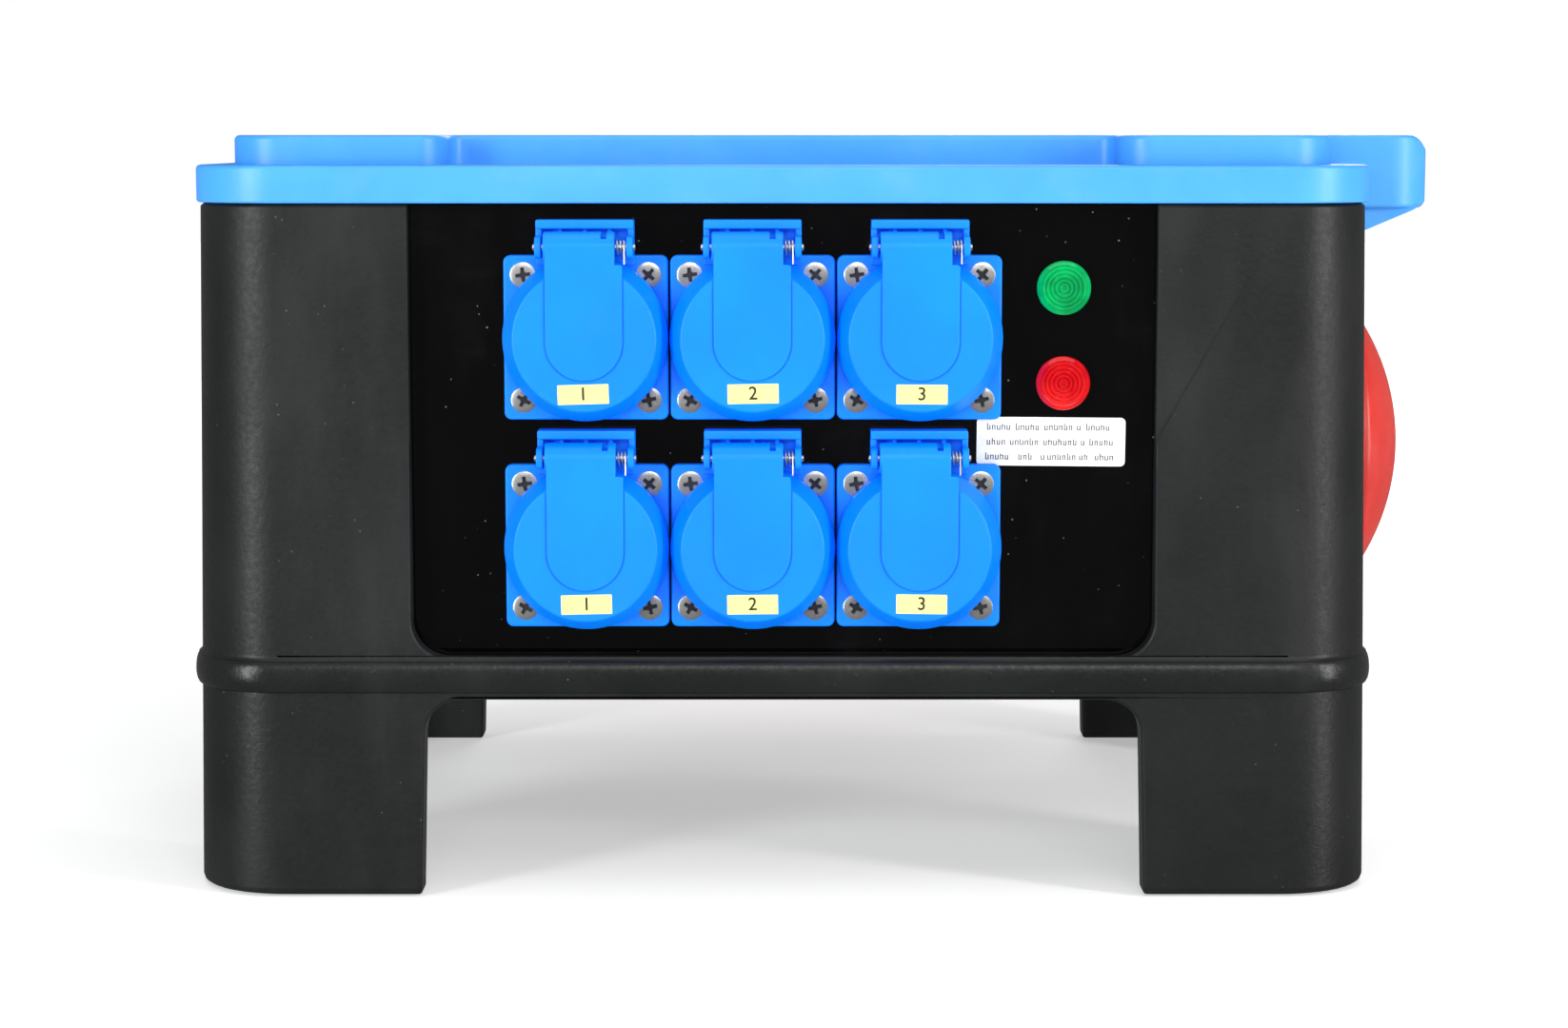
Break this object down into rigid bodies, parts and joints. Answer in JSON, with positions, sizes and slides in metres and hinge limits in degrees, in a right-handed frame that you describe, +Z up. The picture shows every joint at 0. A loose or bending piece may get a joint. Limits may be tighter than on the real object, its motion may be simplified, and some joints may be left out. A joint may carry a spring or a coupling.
{
  "type": "portable power distribution box",
  "caption": "Portable power distribution box on corner legs, with sprung-cover sockets, a five-pole outlet and inlet, lamps, a breaker window and a carry handle.",
  "frame": {"origin": "on the floor under the feet, midway between the outermost points left and right and front and rear", "axes": "+X to the right along the long side, towards the carry handle and the five-pole outlet; +Y to the rear, towards the inlet; +Z up"},
  "size_m": [0.3946, 0.3172, 0.233],
  "materials": {
    "shell_plastic": "fine-grained moulded plastic, satin to matte",
    "lid_plastic": "satin moulded plastic",
    "rubber": "matte",
    "panel_gloss": "glossy, lightly dusty",
    "socket_blue": "satin gloss",
    "steel": "zinc plated",
    "pole_red": "satin gloss",
    "insert_grey": "satin",
    "door_clear": "clear, lightly smoked",
    "toggle_black": "satin",
    "lens_green": "translucent, ringed",
    "lens_red": "translucent, ringed",
    "device_white": "matte"
  },
  "bodies": {
    "enclosure": {"body_shell": "shell_plastic", "lid": "lid_plastic", "lid_gasket": "rubber", "front_panel": "panel_gloss", "right_panel": "panel_gloss", "rear_panel": "panel_gloss", "left_panel": "panel_gloss", "socket_1_housing": "socket_blue", "socket_1_pin": "steel", "socket_1_spring": "steel", "socket_2_housing": "socket_blue", "socket_2_pin": "steel", "socket_2_spring": "steel", "socket_3_housing": "socket_blue", "socket_3_pin": "steel", "socket_3_spring": "steel", "socket_4_housing": "socket_blue", "socket_4_pin": "steel", "socket_4_spring": "steel", "socket_5_housing": "socket_blue", "socket_5_pin": "steel", "socket_5_spring": "steel", "socket_6_housing": "socket_blue", "socket_6_pin": "steel", "socket_6_spring": "steel", "outlet_housing": "pole_red", "outlet_insert": "insert_grey", "outlet_pin": "steel", "outlet_spring": "steel", "inlet_housing": "pole_red", "inlet_insert": "insert_grey", "inlet_pin": "steel", "inlet_spring": "steel", "window_frame": "insert_grey", "window_door_pin": "steel", "mounting_rail": "steel", "rcd_body": "device_white", "breaker_1_body": "device_white", "breaker_2_body": "device_white", "breaker_3_body": "device_white", "lamp_green_lens": "lens_green", "lamp_green_body": "insert_grey", "lamp_red_lens": "lens_red", "lamp_red_body": "insert_grey", "terminal_block": "device_white", "phase_relay": "insert_grey"},
    "socket_cover_1": {"socket_1_cover": "socket_blue"},
    "socket_cover_2": {"socket_2_cover": "socket_blue"},
    "socket_cover_3": {"socket_3_cover": "socket_blue"},
    "socket_cover_4": {"socket_4_cover": "socket_blue"},
    "socket_cover_5": {"socket_5_cover": "socket_blue"},
    "socket_cover_6": {"socket_6_cover": "socket_blue"},
    "outlet_lid": {"outlet_cover": "pole_red"},
    "inlet_lid": {"inlet_cap": "pole_red"},
    "door": {"window_door": "door_clear"},
    "rcd_lever": {"rcd_toggle": "toggle_black"},
    "breaker_lever_1": {"breaker_1_toggle": "toggle_black"},
    "breaker_lever_2": {"breaker_2_toggle": "toggle_black"},
    "breaker_lever_3": {"breaker_3_toggle": "toggle_black"},
    "test_button": {"rcd_test_button": "toggle_black"}
  },
  "joints": [
    {"name": "socket_cover_1_hinge", "type": "hinge", "parent": "enclosure", "child": "socket_cover_1", "pos_m": [-0.07313, -0.15395, 0.1995], "axis": [-1, 0, 0], "range_deg": [0, 100], "stiffness_Nm_per_rad": 0.04, "springref_deg": -28.65},
    {"name": "socket_cover_2_hinge", "type": "hinge", "parent": "enclosure", "child": "socket_cover_2", "pos_m": [-0.02253, -0.15395, 0.1995], "axis": [-1, 0, 0], "range_deg": [0, 100], "stiffness_Nm_per_rad": 0.04, "springref_deg": -28.65},
    {"name": "socket_cover_3_hinge", "type": "hinge", "parent": "enclosure", "child": "socket_cover_3", "pos_m": [0.02807, -0.15395, 0.1995], "axis": [-1, 0, 0], "range_deg": [0, 100], "stiffness_Nm_per_rad": 0.04, "springref_deg": -28.65},
    {"name": "socket_cover_4_hinge", "type": "hinge", "parent": "enclosure", "child": "socket_cover_4", "pos_m": [-0.07313, -0.15395, 0.1358], "axis": [-1, 0, 0], "range_deg": [0, 100], "stiffness_Nm_per_rad": 0.04, "springref_deg": -28.65},
    {"name": "socket_cover_5_hinge", "type": "hinge", "parent": "enclosure", "child": "socket_cover_5", "pos_m": [-0.02253, -0.15395, 0.1358], "axis": [-1, 0, 0], "range_deg": [0, 100], "stiffness_Nm_per_rad": 0.04, "springref_deg": -28.65},
    {"name": "socket_cover_6_hinge", "type": "hinge", "parent": "enclosure", "child": "socket_cover_6", "pos_m": [0.02807, -0.15395, 0.1358], "axis": [-1, 0, 0], "range_deg": [0, 100], "stiffness_Nm_per_rad": 0.04, "springref_deg": -28.65},
    {"name": "outlet_cover_hinge", "type": "hinge", "parent": "enclosure", "child": "outlet_lid", "pos_m": [0.17477, -0.01355, 0.1786], "axis": [0, -1, 0], "range_deg": [0, 95], "stiffness_Nm_per_rad": 0.12, "springref_deg": -28.65},
    {"name": "inlet_cap_hinge", "type": "hinge", "parent": "enclosure", "child": "inlet_lid", "pos_m": [-0.01343, 0.14865, 0.1658], "axis": [1, 0, 0], "range_deg": [0, 120], "stiffness_Nm_per_rad": 0.08, "springref_deg": -28.65},
    {"name": "window_door_hinge", "type": "hinge", "parent": "enclosure", "child": "door", "pos_m": [-0.19043, -0.01355, 0.1745], "axis": [0, 1, 0], "range_deg": [0, 110]},
    {"name": "rcd_toggle_hinge", "type": "hinge", "parent": "enclosure", "child": "rcd_lever", "pos_m": [-0.17563, -0.0073, 0.14], "axis": [0, -1, 0], "range_deg": [0, 70]},
    {"name": "breaker_1_toggle_hinge", "type": "hinge", "parent": "enclosure", "child": "breaker_lever_1", "pos_m": [-0.17563, -0.03105, 0.14], "axis": [0, -1, 0], "range_deg": [0, 70]},
    {"name": "breaker_2_toggle_hinge", "type": "hinge", "parent": "enclosure", "child": "breaker_lever_2", "pos_m": [-0.17563, -0.04855, 0.14], "axis": [0, -1, 0], "range_deg": [0, 70]},
    {"name": "breaker_3_toggle_hinge", "type": "hinge", "parent": "enclosure", "child": "breaker_lever_3", "pos_m": [-0.17563, -0.06605, 0.14], "axis": [0, -1, 0], "range_deg": [0, 70]},
    {"name": "test_button_push", "type": "slide", "parent": "enclosure", "child": "test_button", "axis": [1, 0, 0], "range_m": [0, 0.0015], "stiffness_N_per_m": 300, "springref_m": -0.001}
  ]
}
